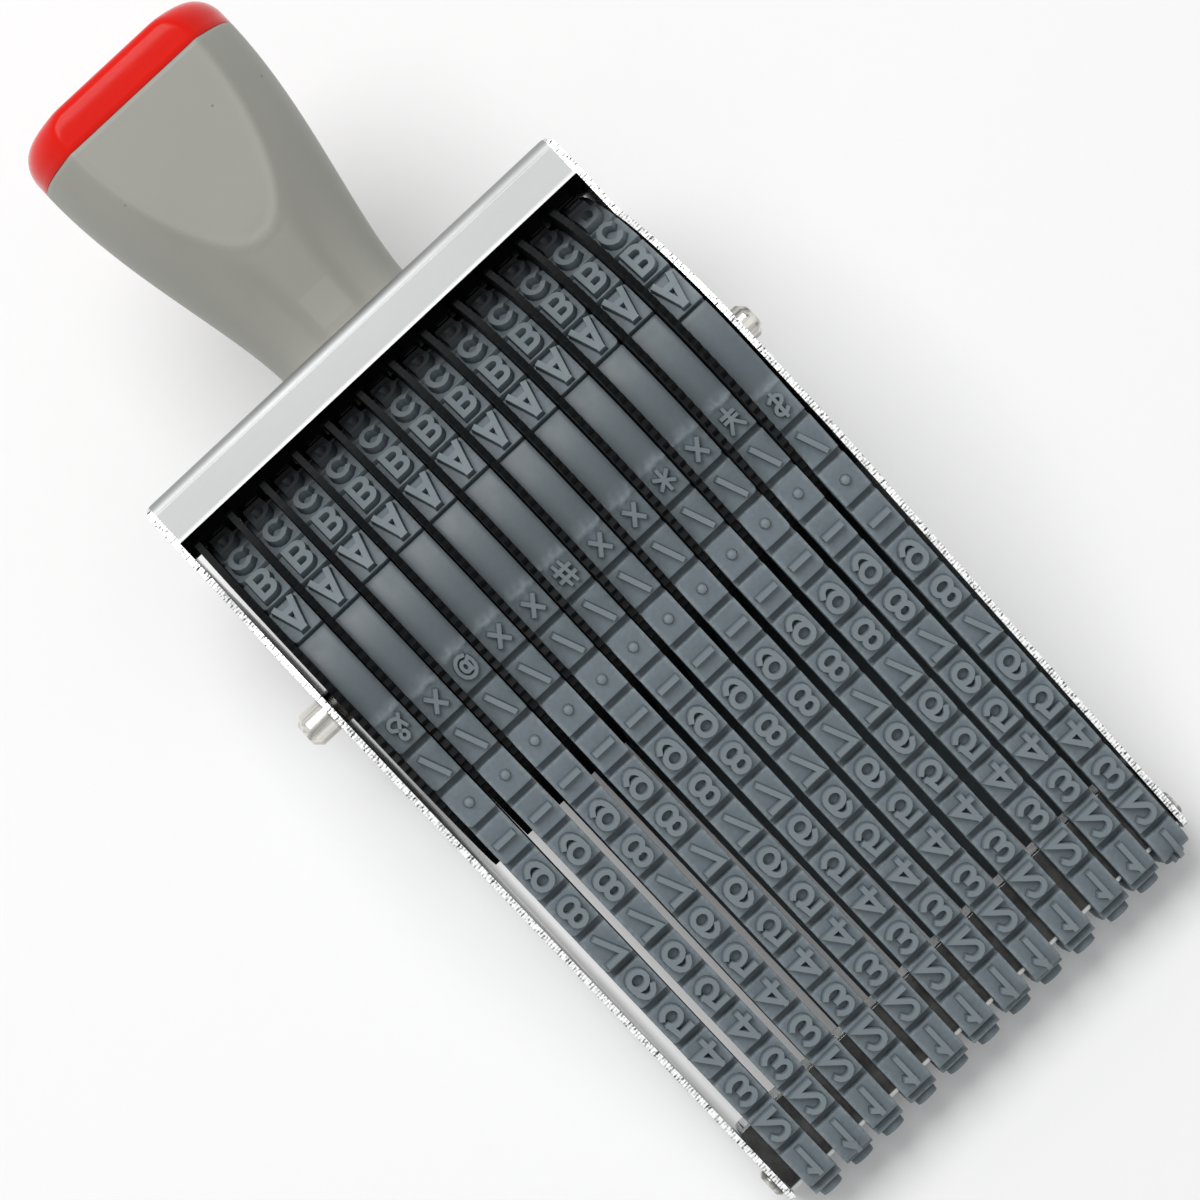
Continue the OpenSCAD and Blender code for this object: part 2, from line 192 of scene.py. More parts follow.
# Strokes of the type, in a box from -1 to 1 each way: a point is (x, y), and an arc of an
# ellipse is (centre x, centre y, half width, half height, start angle, end angle)
GLYPHS = {
    "0": [[(0, 0, 0.85, 1, 90, 450)]],
    "1": [[(0.1, 1), (0.1, -1)], [(0.05, 0.9), (-0.42, 0.6)]],
    "2": [[(0, 0.42, 0.82, 0.58, 165, -35), (-0.85, -1), (0.85, -1)]],
    "3": [[(0, 0.5, 0.78, 0.5, 155, -90), (-0.2, 0)], [(-0.2, 0), (0, -0.5, 0.88, 0.5, 90, -155)]],
    "4": [[(0.4, -1), (0.4, 1)], [(0.4, 1), (-0.95, -0.42), (0.95, -0.42)]],
    "5": [[(0.72, 1), (-0.58, 1), (-0.74, -0.02)], [(-0.02, -0.36, 0.85, 0.64, 148, -150)]],
    "6": [[(0, -0.38, 0.84, 0.62, 90, 450)], [(0, 0, 0.84, 1, 34, 180), (-0.84, -0.38)]],
    "7": [[(-0.85, 1), (0.85, 1), (-0.25, -1)]],
    "8": [[(0, 0.5, 0.7, 0.5, 90, 450)], [(0, -0.47, 0.85, 0.53, 90, 450)]],
    "9": [[(0, 0.38, 0.84, 0.62, 90, 450)], [(0, 0, 0.84, 1, 214, 360), (0.84, 0.38)]],
    "-": [[(-0.85, 0), (0.85, 0)]],
    "/": [[(-0.46, -0.92), (0.46, 0.92)]],
    "x": [[(-0.9, -0.9), (0.9, 0.9)], [(-0.9, 0.9), (0.9, -0.9)]],
    "&": [
        [(0.9, -1), (-0.33, 0.42), (0, 0.6, 0.4, 0.38, 205, -35), (-0.72, -0.3)],
        [(-0.1, -0.52, 0.7, 0.48, 150, 330), (0.85, 0.1)],
    ],
    "@": [
        [(0, 0, 0.4, 0.45, 90, 450)],
        [(0.42, 0.45), (0.42, -0.35), (0.75, -0.5)],
        [(0, 0, 0.98, 1, -30, 300)],
    ],
    "#": [
        [(-0.55, -1), (-0.25, 1)], [(0.25, -1), (0.55, 1)],
        [(-0.95, 0.38), (0.95, 0.38)], [(-0.95, -0.38), (0.95, -0.38)],
    ],
    "*": [[(0, -0.9), (0, 0.9)], [(-0.85, -0.5), (0.85, 0.5)], [(-0.85, 0.5), (0.85, -0.5)]],
    "yen": [
        [(-0.85, 1), (0, 0.05), (0.85, 1)], [(0, 0.05), (0, -1)],
        [(-0.75, 0), (0.75, 0)], [(-0.75, -0.45), (0.75, -0.45)],
    ],
    "$": [[(0, 0.42, 0.7, 0.42, 35, 270), (0, -0.42, 0.76, 0.42, 90, -145)], [(0, -1.1), (0, 1.1)]],
    "A": [
        [(-0.9, -1), (-0.14, 0.9)], [(0.9, -1), (0.14, 0.9)], [(-0.1, 1), (0.1, 1)],
        [(-0.55, -0.4), (0.55, -0.4)],
    ],
    "B": [
        [(-0.75, -1), (-0.75, 1), (0.12, 0.53, 0.62, 0.47, 90, -90), (-0.75, 0.06)],
        [(-0.75, 0.06), (0.15, -0.47, 0.7, 0.53, 90, -90), (-0.75, -1)],
    ],
    "C": [[(0, 0, 0.9, 1, 45, 315)]],
    "D": [[(-0.8, -1), (-0.8, 1), (-0.05, 0, 0.92, 1, 90, -90), (-0.8, -1)]],
    "E": [[(0.75, 1), (-0.75, 1), (-0.75, -1), (0.8, -1)], [(-0.75, 0), (0.6, 0)]],
    "F": [[(0.75, 1), (-0.75, 1), (-0.75, -1)], [(-0.75, 0), (0.55, 0)]],
    "G": [[(0, 0, 0.9, 1, 48, 330)], [(0.15, -0.12), (0.88, -0.12), (0.88, -0.9)]],
    "H": [[(-0.8, -1), (-0.8, 1)], [(0.8, -1), (0.8, 1)], [(-0.8, 0), (0.8, 0)]],
    "I": [[(0, 1), (0, -1)]],
    "J": [[(0.6, 1), (-0.1, -0.4, 0.7, 0.6, 0, -170)]],
    "K": [[(-0.8, -1), (-0.8, 1)], [(0.8, 1), (-0.8, -0.2)], [(-0.15, 0.3), (0.85, -1)]],
    "L": [[(-0.7, 1), (-0.7, -1), (0.75, -1)]],
    "M": [[(-0.95, -1), (-0.95, 1), (-0.75, 1), (0, -0.35), (0.75, 1), (0.95, 1), (0.95, -1)]],
    "N": [[(-0.8, -1), (-0.8, 1), (-0.6, 1), (0.6, -1), (0.8, -1), (0.8, 1)]],
    "O": [[(0, 0, 0.92, 1, 90, 450)]],
    "P": [[(-0.75, -1), (-0.75, 1), (0.1, 0.48, 0.7, 0.52, 90, -90), (-0.75, -0.04)]],
    "Q": [[(0, 0, 0.92, 1, 90, 450)], [(0.25, -0.5), (0.85, -1.05)]],
    "R": [
        [(-0.75, -1), (-0.75, 1), (0.1, 0.48, 0.7, 0.52, 90, -90), (-0.75, -0.04)],
        [(0.05, -0.04), (0.8, -1)],
    ],
    "S": [[(0, 0.5, 0.78, 0.5, 35, 270), (0, -0.5, 0.85, 0.5, 90, -145)]],
    "T": [[(-0.9, 1), (0.9, 1)], [(0, 1), (0, -1)]],
    "U": [[(-0.8, 1), (0, -0.3, 0.8, 0.7, 180, 360), (0.8, 1)]],
    "V": [[(-0.9, 1), (-0.1, -1), (0.1, -1), (0.9, 1)]],
    "W": [[(-1, 1), (-0.58, -1), (-0.42, -1), (0, 0.6), (0.42, -1), (0.58, -1), (1, 1)]],
    "X": [[(-0.85, 1), (0.85, -1)], [(-0.85, -1), (0.85, 1)]],
    "Y": [[(-0.9, 1), (0, 0), (0.9, 1)], [(0, 0), (0, -1)]],
    "Z": [[(-0.8, 1), (0.8, 1), (-0.8, -1), (0.8, -1)]],
}


def length(name, description, default):
    return bpy.props.FloatProperty(name=name, description=description, default=default, unit="LENGTH")


def numbers(name, description, default, **kind):
    return bpy.props.FloatVectorProperty(
        name=name, description=description, default=default, size=len(default), **kind)


def two_lengths(name, description, default):
    return numbers(name, description, default, unit="LENGTH")


def colour(name, description, default):
    return numbers(name, description, default, subtype="COLOR")


class StampShape(bpy.types.PropertyGroup):
    """Sizes of the rubber bands, the type and the handle."""

    drum_radius: length("Drum radius", "Radius that the bands run on", 0.022)
    band_gap: length("Band gap", "Running gap under a band", 0.00015)
    web: length("Web", "Thickness of a band between its pads", 0.001)
    pad: length("Pad", "Height of the pads on the web", 0.001)
    front_cell: length("Pitch", "Pitch of the pads with digits and signs", 0.00615)
    groove: length("Groove", "Groove between two of those pads", 0.00087)
    letter_groove: length("Letter groove", "Groove between two pads with letters", 0.0007)
    blank: length("Blank", "Smooth stretch between the signs and the letters", 0.0114)
    nose_half: length("Nose half depth", "Half depth of a band's inner face under the nose", 0.0038)
    nose_corner: length("Nose corner", "Radius of a band's inner face at the nose", 0.0011)
    edge: length("Soft edge", "Rounding of the pads' edges", 0.00012)
    type_height: length("Type height", "Height of the raised characters", 0.001)
    type_size: two_lengths("Type size", "Width and height of a character", (0.0034, 0.0042))
    stroke: two_lengths("Stroke", "Width of a stroke on top and at its foot", (0.00066, 0.0009))
    sign_scale: numbers("Small signs", "Size of a small cross and of the other last signs", (0.64, 0.8))
    sign_stroke: numbers("Small strokes", "Stroke of a small cross and of the other last signs", (0.8, 0.66))
    dot: length("Dot", "Radius of the dot", 0.00066)
    lip: length("Lip", "Height of the top plate's front lip", 0.0059)
    plate_rise: length("Plate rise", "Height of the top plate above the axle", 0.0328)
    handle_height: length("Handle height", "Height of the grey handle", 0.0372)
    handle_base: two_lengths("Handle base", "Half width and half depth at the base", (0.010, 0.0098))
    handle_top: two_lengths("Handle top", "Half width and half depth at the top", (0.0155, 0.0152))
    facet: length("Facet", "Half depth of the flat front and back facets", 0.012)
    facet_soft: length("Facet softness", "Softness of the facets' edges", 0.0005)
    cap_height: length("Cap height", "Height of the red cap", 0.0054)
    shoulder: two_lengths("Shoulder", "How far the cap's shoulders draw in and fall", (0.0031, 0.0038))


class StampLook(bpy.types.PropertyGroup):
    """Colours of the finishes."""

    rubber: colour("Rubber", "Slate grey rubber of the pads", (0.122, 0.152, 0.172))
    # The type's paler tops are partly rubbed rubber and partly painted light
    rubber_type: colour("Type", "Paler rubber on the characters' tops", (0.200, 0.237, 0.253))
    handle: colour("Handle", "Warm grey moulded plastic", (0.312, 0.312, 0.279))
    cap: colour("Cap", "Red gloss plastic", (0.74, 0.010, 0.004))
    wheel: colour("Wheels", "Black moulded plastic", (0.006, 0.0065, 0.007))
    chrome: colour("Chrome", "Bright plated sheet", (0.62, 0.63, 0.63))
    nickel: colour("Nickel", "Axle, rivets and screws", (0.57, 0.555, 0.52))
    nose: colour("Nose", "Dull steel of the nose plate", (0.06, 0.059, 0.058))
    floor: colour("Floor", "Pale studio floor", (0.93, 0.93, 0.93))


def own_axes():
    """The upright stamp's axes in the frame, the middle of its print plane and the axle's height above it."""
    face = next(m for m in frame["record"]["mounts"] if m["name"] == "print_face")
    joint = frame["joints"][0]
    up = -np.array(face["axis"], float)
    across = np.array(joint["axis"], float)
    back = np.cross(up, across)
    axle = np.array(joint["pos_m"], float)
    low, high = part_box("frame")
    axle[0] = (low[0] + high[0]) / 2
    height = float((axle - np.array(face["pos_m"])) @ up)
    return np.stack([across, back, up]), axle - up * height, height


AXES, FOOT, AXLE_Z = own_axes()


def to_frame(x, y, z):
    """Points in the frame: the foot plus x, y and z along the stamp's own axes."""
    return FOOT + np.stack(np.broadcast_arrays(x, y, z), axis=-1) @ AXES


class Loop:
    """Middle line of a band's web by length: under the nose, up the front, over the drum and down the back.

    It is a flat, a corner, a run that touches the corner and the drum, the drum, and the same again mirrored.
    """

    def __init__(self, shape):
        drum_r = shape.drum_radius + shape.band_gap + shape.web / 2
        corner_r = shape.nose_corner + shape.web / 2
        flat = shape.nose_half - shape.nose_corner
        corner_z = shape.pad + shape.web + shape.nose_corner
        rise = AXLE_Z - corner_z
        span = math.hypot(flat, rise)
        lean = math.asin((drum_r - corner_r) / span) - math.atan2(flat, rise)
        run = math.sqrt(span ** 2 - (drum_r - corner_r) ** 2)
        corner_turn = math.pi / 2 - lean
        front, back = -math.pi + lean, -2 * math.pi - lean
        front_foot = (-flat + corner_r * math.cos(front), corner_z + corner_r * math.sin(front))
        back_head = (drum_r * math.cos(back), AXLE_Z + drum_r * math.sin(back))
        # Each stretch: length, radius or 0 for straight, centre or start point, normal's angle at its start;
        # stretches 1 and 5 are the corners, 2 and 4 the runs and 3 the drum
        self.stretches = [
            (flat, 0, (0, corner_z - corner_r), -math.pi / 2),
            (corner_r * corner_turn, corner_r, (-flat, corner_z), -math.pi / 2),
            (run, 0, front_foot, front),
            (drum_r * (math.pi + 2 * lean), drum_r, (0, AXLE_Z), front),
            (run, 0, back_head, back),
            (corner_r * corner_turn, corner_r, (flat, corner_z), back),
            (flat, 0, (flat, corner_z - corner_r), -2.5 * math.pi),
        ]
        self.starts = np.cumsum([0] + [s[0] for s in self.stretches])
        self.length = self.starts[-1]

    def place(self, s):
        """y, z and the outward normal's angle at each length s, wrapped round the loop."""
        s = np.mod(s, self.length)
        y, z, angle = np.zeros_like(s), np.zeros_like(s), np.zeros_like(s)
        at = np.clip(np.searchsorted(self.starts, s, side="right") - 1, 0, len(self.stretches) - 1)
        for k, (_, radius, (py, pz), start) in enumerate(self.stretches):
            here = at == k
            run = s[here] - self.starts[k]
            if radius:
                angle[here] = start - run / radius
                y[here] = py + radius * np.cos(angle[here])
                z[here] = pz + radius * np.sin(angle[here])
            else:
                angle[here] = start
                y[here] = py + run * math.sin(start)
                z[here] = pz - run * math.cos(start)
        return y, z, angle

    def point(self, x, s, out):
        """The point at x along the axle, s round the loop and out from the web's middle line.

        The rubber is a little slack just past the drum's top, where it stands off by a bell curve of the
        length.
        """
        y, z, angle = self.place(s)
        past_top = np.mod(s, self.length) - self.length / 2 - SLACK_PLACE
        out = out + SLACK * np.exp(-(past_top / SLACK_LENGTH) ** 2)
        return to_frame(x, y + out * np.cos(angle), z + out * np.sin(angle))


def grid_faces(rows, columns, wrap_rows=False, wrap_columns=False):
    """Quads between neighbouring points of a grid stored row by row, closed round where it wraps."""
    i = np.arange(rows if wrap_rows else rows - 1)[:, None]
    j = np.arange(columns if wrap_columns else columns - 1)[None, :]
    below, above = i * columns, (i + 1) % rows * columns
    right = (j + 1) % columns
    corners = np.broadcast_arrays(below + j, below + right, above + right, above + j)
    return np.stack(corners, -1).reshape(-1, 4)


def add_piece(name, points, face_sets, finish, node, sharp, values=None):
    """A mesh piece at the origin that stands for a CAD node, sharp past an angle, with values on points."""
    mesh = bpy.data.meshes.new(name)
    corners = np.concatenate([f.ravel() for f in face_sets]).astype(np.int32)
    sizes = np.concatenate([np.full(len(f), f.shape[1]) for f in face_sets])
    mesh.vertices.add(len(points))
    mesh.vertices.foreach_set("co", points.astype(np.float32).ravel())
    mesh.loops.add(len(corners))
    mesh.loops.foreach_set("vertex_index", corners)
    mesh.polygons.add(len(sizes))
    mesh.polygons.foreach_set("loop_start", (np.cumsum(sizes) - sizes).astype(np.int32))
    mesh.polygons.foreach_set("use_smooth", np.ones(len(sizes), bool))
    mesh.update(calc_edges=True)
    mesh.set_sharp_from_angle(angle=math.radians(sharp))
    for key, value in (values or {}).items():
        layer = mesh.attributes.new(key, "FLOAT", "POINT")
        layer.data.foreach_set("value", value.astype(np.float32).ravel())
    return place_piece(name, mesh, finish, node)


def place_piece(name, mesh, finish, node):
    """Links a finished mesh as an object that rides on the body in place of a CAD node."""
    mesh.materials.clear()
    mesh.materials.append(finish)
    piece = bpy.data.objects.new(name, mesh)
    bpy.context.scene.collection.objects.link(piece)
    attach(piece, "body")
    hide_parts(node)
    return piece


def edged_copy(node, name, width, slot, finish):
    """A copy of a CAD node, merged and freed of its flat seams, with its sharp edges broken by a bevel."""
    mesh = frame["nodes"][node].data.copy()
    work = bmesh.new()
    work.from_mesh(mesh)
    bmesh.ops.remove_doubles(work, verts=work.verts, dist=MERGE)
    bmesh.ops.dissolve_limit(work, angle_limit=math.radians(FLAT_SEAM), verts=work.verts, edges=work.edges)
    for face in work.faces:
        face.smooth = True
    work.to_mesh(mesh)
    work.free()
    piece = place_piece(name, mesh, finish, node)
    bevel = piece.modifiers.new("broken edges", "BEVEL")
    bevel.width = width
    bevel.segments = 2
    bevel.limit_method = "ANGLE"
    bevel.angle_limit = math.radians(BROKEN_ANGLE)
    bevel.harden_normals = True
    piece.modifiers.new("flat faces", "WEIGHTED_NORMAL").keep_sharp = True
    return piece


def trace(stroke):
    """Points along a stroke: its points and arcs in turn, with even steps on an arc."""
    parts = []
    for item in stroke:
        if len(item) == 2:
            parts.append(np.array([item], float))
            continue
        cx, cy, rx, ry, start, end = item
        steps = max(ARC_LEAST, round(abs(end - start) / ARC_STEP))
        angle = np.radians(np.linspace(start, end, steps + 1))
        parts.append(np.stack([cx + rx * np.cos(angle), cy + ry * np.sin(angle)], -1))
    points = np.concatenate(parts)
    fresh = np.r_[True, np.hypot(*np.diff(points, axis=0).T) > MERGE]
    return points[fresh]


def refined(path, step):
    """The path with points added on its long straight stretches, no further apart than the step."""
    counts = np.maximum(1, np.ceil(np.hypot(*np.diff(path, axis=0).T) / step).astype(int))
    spread = np.concatenate([k + np.arange(n) / n for k, n in enumerate(counts)] + [[len(path) - 1.0]])
    index = np.arange(len(path))
    return np.stack([np.interp(spread, index, path[:, 0]), np.interp(spread, index, path[:, 1])], -1)


def unit(v):
    return v / np.linalg.norm(v, axis=-1, keepdims=True)


def ridge(path, half, sink, rise):
    """A stroke as a bar with drafted sides: at each point the path moves sideways by half its width.

    Corners are mitred, open ends are cut square half a width past the path, and a path that meets itself
    is closed. Rows are foot left, top left, top right and foot right. Returns places, heights and quads.
    """
    closed = np.allclose(path[0], path[-1])
    if closed:
        path = path[:-1]
    else:
        path = path.copy()
        path[0] += unit(path[0] - path[1]) * half[0]
        path[-1] += unit(path[-1] - path[-2]) * half[0]
    before, after = np.roll(path, 1, 0), np.roll(path, -1, 0)
    if not closed:
        before[0], after[-1] = 2 * path[0] - path[1], 2 * path[-1] - path[-2]
    heading_in, heading_out = unit(path - before), unit(after - path)
    middle = unit(heading_in + heading_out)
    side = np.stack([-middle[:, 1], middle[:, 0]], -1)
    mitre = np.clip(np.abs(side[:, 1] * heading_in[:, 0] - side[:, 0] * heading_in[:, 1]), MITRE_LIMIT, 1)
    reach = side / mitre[:, None]
    draft = half[1] - half[0]
    ends = np.zeros_like(path)
    if not closed:
        ends[0], ends[-1] = -heading_out[0] * draft, heading_in[-1] * draft
    top, foot = reach * half[0], reach * half[1]
    rows = [path + foot + ends, path + top, path - top, path - foot + ends]
    places = np.stack(rows, 1).reshape(-1, 2)
    heights = np.tile([-sink, rise, rise, -sink], len(path))
    faces = grid_faces(len(path), 4, wrap_rows=closed, wrap_columns=True)
    if not closed:
        last = 4 * (len(path) - 1)
        faces = np.concatenate([faces, [[0, 3, 2, 1], [last, last + 1, last + 2, last + 3]]])
    return places, heights, faces


def stud(radius, sink, rise, draft):
    """A round dot as a stud with flat sides, drafted, and a low dome. Its caps are three quads each."""
    angle = np.linspace(0, 2 * np.pi, DOT_SIDES, endpoint=False)
    ring = np.stack([np.cos(angle), np.sin(angle)], -1)
    places = np.concatenate([ring * (radius + draft), ring * radius * DOT_SHOULDER, ring * radius * DOT_TOP])
    heights = np.repeat([-sink, rise * DOT_SHOULDER_HEIGHT, rise], DOT_SIDES)
    caps = [[16, 17, 18, 19], [16, 19, 20, 23], [20, 21, 22, 23], [3, 2, 1, 0], [7, 4, 3, 0], [7, 6, 5, 4]]
    return places, heights, np.concatenate([grid_faces(3, DOT_SIDES, wrap_columns=True), caps])


def character(name, shape, small):
    """A character's strokes as places in the plane, heights and quads; a small sign is lower and finer."""
    scale, thin, rise = 1.0, LETTER_STROKE if name in LETTERS else 1.0, shape.type_height
    if small:
        kind = 0 if name == "x" else 1
        scale, thin, rise = shape.sign_scale[kind], shape.sign_stroke[kind], rise * SMALL_HEIGHT
    half = np.array(shape.stroke) / 2 * thin
    box = np.array(shape.type_size) / 2 * scale - half[0]
    if name == ".":
        return stud(shape.dot, SINK, rise * DOT_HEIGHT, half[1] - half[0])
    places, heights, faces = [], [], []
    count = 0
    for k, stroke in enumerate(GLYPHS[name]):
        path = refined(trace(stroke) * box, STROKE_STEP)
        at, high, quads = ridge(path, half, SINK, rise + k * STROKE_LAYER)
        places.append(at)
        heights.append(high)
        faces.append(quads + count)
        count += len(at)
    return np.concatenate(places), np.concatenate(heights), np.concatenate(faces)


def pad_spans(loop, shape, turn):
    """Middles, starts and ends of a band's pads: the last sign's pad runs on into the smooth stretch."""
    front = len(FIRST_SIGNS) + 1
    letters_at = (front - 0.5) * shape.front_cell + shape.blank
    letter_cell = (loop.length - shape.front_cell / 2 - letters_at) / len(LETTERS)
    letters = letters_at + (np.arange(len(LETTERS)) + 0.5) * letter_cell
    middles = np.r_[np.arange(front) * shape.front_cell, letters] - turn
    pad_lengths = [shape.front_cell - shape.groove, letter_cell - shape.letter_groove]
    lengths = np.repeat(pad_lengths, [front, len(LETTERS)])
    starts, ends = middles - lengths / 2, middles + lengths / 2
    ends[front - 1] = letters_at - turn
    return middles, starts, ends


def band_lengths(loop, shape, starts, ends):
    """Lengths round the loop at which a band is sampled, and the pad's height and wear at each.

    Every pad rises steeply, turns over a soft edge and falls the same way. Even samples and closer ones on
    the nose's corners are added between, where no edge is near.
    """
    edge, draft = shape.edge, shape.edge / 2
    turn = EDGE_TURN * edge
    rise = np.array([0, draft, draft + turn, draft + edge])
    height = np.array([0, shape.pad - edge, shape.pad - turn, shape.pad])
    knots = np.concatenate([starts[:, None] + rise, ends[:, None] - rise[::-1]], 1).ravel()
    heights = np.tile(np.r_[height, height[::-1]], len(starts))
    worn = np.tile([*EDGE_WORN, *EDGE_WORN[::-1]], len(starts))
    round_corner = starts[:, None] + np.array(ROUND_PLACES) * CORNER_ROUND
    flash = flash_place(starts, shape) + np.array(FLASH_PLACES) * FLASH_WIDTH / 2
    corners = [np.linspace(loop.starts[k], loop.starts[k + 1], CORNER_SAMPLES) for k in (1, 5)]
    even = np.linspace(0, loop.length, BAND_SAMPLES, endpoint=False)
    extra = np.concatenate([even, round_corner.ravel(), flash, *corners])
    near = np.abs((extra[:, None] - knots + loop.length / 2) % loop.length - loop.length / 2).min(1)
    s = np.unique(np.round(np.mod(np.r_[knots, extra[near > edge]], loop.length), SAMPLE_DIGITS))
    s = s[np.r_[True, np.diff(s) > SAMPLE_APART]]
    order = np.argsort(np.mod(knots, loop.length))
    at = np.mod(knots, loop.length)[order]
    return s, *(np.interp(s, at, value[order], period=loop.length) for value in (heights, worn))


def flash_place(starts, shape):
    """Where the moulding flash crosses the band, a little short of the end of the last sign's pad."""
    k = len(FIRST_SIGNS)
    return starts[k] + (starts[k] - starts[k - 1]) - shape.groove / 2 - FLASH_BACK


def band_body(loop, shape, left, width, number, starts, ends):
    """The band itself: a rounded section carried round the loop, as high as the pad at each length.

    The section runs from the inner left edge round the outside to the inner right edge, and near the drum's
    top the slack rubber spreads a little to the right, by a bell curve of the length.
    """
    s, height, worn = band_lengths(loop, shape, starts, ends)
    edge, chamfer, turn = shape.edge, shape.edge * CHAMFER, EDGE_TURN * shape.edge
    across = np.array([chamfer, 0, 0, turn, edge])
    inner = np.array([0, chamfer, -edge, -turn, 0])
    middle = np.linspace(*MIDDLE_SPAN, MIDDLE_SAMPLES) * width
    x = np.r_[across, middle, width - across[::-1]]
    drop = np.r_[inner, np.zeros(len(middle)), inner[::-1]]
    from_inner = np.r_[1, 1, np.zeros(len(x) - 4), 1, 1]
    wave = FLASH_WIDTH * FLASH_WAVE * sum(np.sin(x * along + number * apart) for along, apart in FLASH_TURNS)
    from_flash = (s[:, None] - flash_place(starts, shape) - wave) / FLASH_WIDTH
    lump = FLASH_HEIGHT * np.exp(-np.where(from_flash < 0, *FLASH_STEEP) * from_flash ** 2)
    out = np.where(from_inner, -shape.web / 2 + drop, shape.web / 2 + drop + height[:, None] + lump)
    start = starts[np.clip(np.searchsorted(starts, s, side="right") - 1, 0, len(starts) - 1)]
    into = np.clip((s - start) / CORNER_ROUND, 0, 1)
    cut = CORNER_ROUND * (1 - np.sqrt(1 - (1 - into) ** 2)) * (height > shape.edge)
    rounded = BAND_ROUND[number]
    weight = np.clip(1 - x / width * 2, 0, 1) if rounded > 0 else np.clip(x / width * 2 - 1, 0, 1)
    shift = rounded * cut[:, None] * weight * (1 - from_inner)
    near_top = (s - loop.length / 2 - SPREAD_PLACE) / SPREAD_LENGTH
    spread = SPREAD * np.exp(-near_top ** 2)[:, None] * x / width
    places = left + x + shift + spread + lean_at(loop, s, number)[:, None]
    points = loop.point(places, np.repeat(s[:, None], len(x), 1), out)
    relief = WEB_RELIEF + (PAD_RELIEF - WEB_RELIEF) * height[:, None] / shape.pad * (1 - from_inner)
    side_edge = np.isin(np.arange(len(x)), [2, 3, 4, len(x) - 3, len(x) - 4, len(x) - 5])
    on_edge = np.maximum(worn[:, None], side_edge) + np.clip(FLASH_WORN * lump / FLASH_HEIGHT, 0, 1)
    on_edge = on_edge * (1 - from_inner)
    smooth = np.clip(from_flash * SMOOTH_FADE, 0, 1) * (s[:, None] < ends[len(FIRST_SIGNS)])
    faces = grid_faces(len(s), len(x), wrap_rows=True, wrap_columns=True)
    values = {"relief": relief, "worn": np.clip(on_edge, 0, 1), "smooth": smooth}
    return points.reshape(-1, 3), faces, values


def lean_at(loop, s, number):
    """Sideways lean of a band: none on the drum, growing evenly down both runs to the nose."""
    lean = BAND_LEAN[number] * MM
    knots = [0, loop.starts[2], loop.starts[3], loop.starts[4], loop.starts[5], loop.length]
    return np.interp(np.mod(s, loop.length), knots, [lean, lean, 0, 0, lean, lean])


def band_type(loop, shape, middle_x, number, middles):
    """All characters of a band on their pads: the plane's x is across, and its y is back along the loop."""
    names = list(FIRST_SIGNS) + [LAST_SIGN[number]] + list(LETTERS)
    points, faces, relief = [], [], []
    count = 0
    for k, (name, middle) in enumerate(zip(names, middles)):
        places, heights, quads = character(name, shape, k == len(FIRST_SIGNS))
        s = middle - places[:, 1]
        x = middle_x + places[:, 0] + lean_at(loop, s, number)
        points.append(loop.point(x, s, shape.web / 2 + shape.pad + heights))
        faces.append(quads[:, ::-1] + count)
        relief.append(np.where(heights > 0, 1.0, 0.0))
        count += len(places)
    return np.concatenate(points), np.concatenate(faces), np.concatenate(relief)


class STAMP_OT_bands(bpy.types.Operator):
    """Make the twelve rubber bands with their pads and raised type"""

    bl_idname = "stamp.bands"
    bl_label = "Rubber bands"

    def execute(self, context):
        shape = context.scene.stamp_shape
        loop = Loop(shape)
        finish = rubber_finish(context.scene.stamp_look, shape)
        for number in range(BAND_COUNT):
            node = f"band_{number + 1:02d}"
            low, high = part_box(node)
            left, width = low[0] - FOOT[0], high[0] - low[0]
            middles, starts, ends = pad_spans(loop, shape, BAND_TURN[number] * MM)
            points, faces, values = band_body(loop, shape, left, width, number, starts, ends)
            more, quads, relief = band_type(loop, shape, left + width / 2, number, middles)
            plain = np.zeros(len(relief))
            on_type = {"relief": relief, "worn": plain, "smooth": plain}
            values = {key: np.r_[value.ravel(), on_type[key]] for key, value in values.items()}
            faces = [np.concatenate([faces, quads + len(points)])]
            points = np.concatenate([points, more])
            add_piece(f"type_{node}", points, faces, finish, node, BAND_SHARP, values)
        return {"FINISHED"}


def smooth_step(t):
    return t * t * (3 - 2 * t)


def rise_between(t, start, end):
    """0 up to the start, 1 from the end on, and a smooth step between."""
    return smooth_step(np.clip((t - start) / (end - start), 0, 1))


def soft_min(a, b, soft):
    """The smaller of two values, rounded off where they are closer than soft."""
    near = np.maximum(soft - np.abs(a - b), 0) / soft
    return np.minimum(a, b) - near * near * soft / 4


def section(half_w, half_d):
    """Rounded sections: superellipses of the given half widths and half depths, one a row."""
    angle = np.linspace(0, 2 * np.pi, RING_POINTS, endpoint=False)
    c, s = np.cos(angle), np.sin(angle)
    x = half_w[:, None] * np.sign(c) * np.abs(c) ** (2 / SECTION_POWER)
    y = half_d[:, None] * np.sign(s) * np.abs(s) ** (2 / SECTION_POWER)
    return x, y


def from_edge(x, y, z, flat):
    """Distance from the facet's edge, positive on it: the depth over the flat by its slope in x and z."""
    over = np.abs(y) - flat[:, None]
    by_ring, by_angle = np.gradient(over)
    x_ring, x_angle = np.gradient(x)
    slope_x = by_angle / np.where(np.abs(x_angle) < TINY, TINY, x_angle)
    slope_z = (by_ring - slope_x * x_ring) / np.gradient(z)[:, None]
    return over / np.maximum(np.hypot(slope_x, slope_z), LEAST_SLOPE)


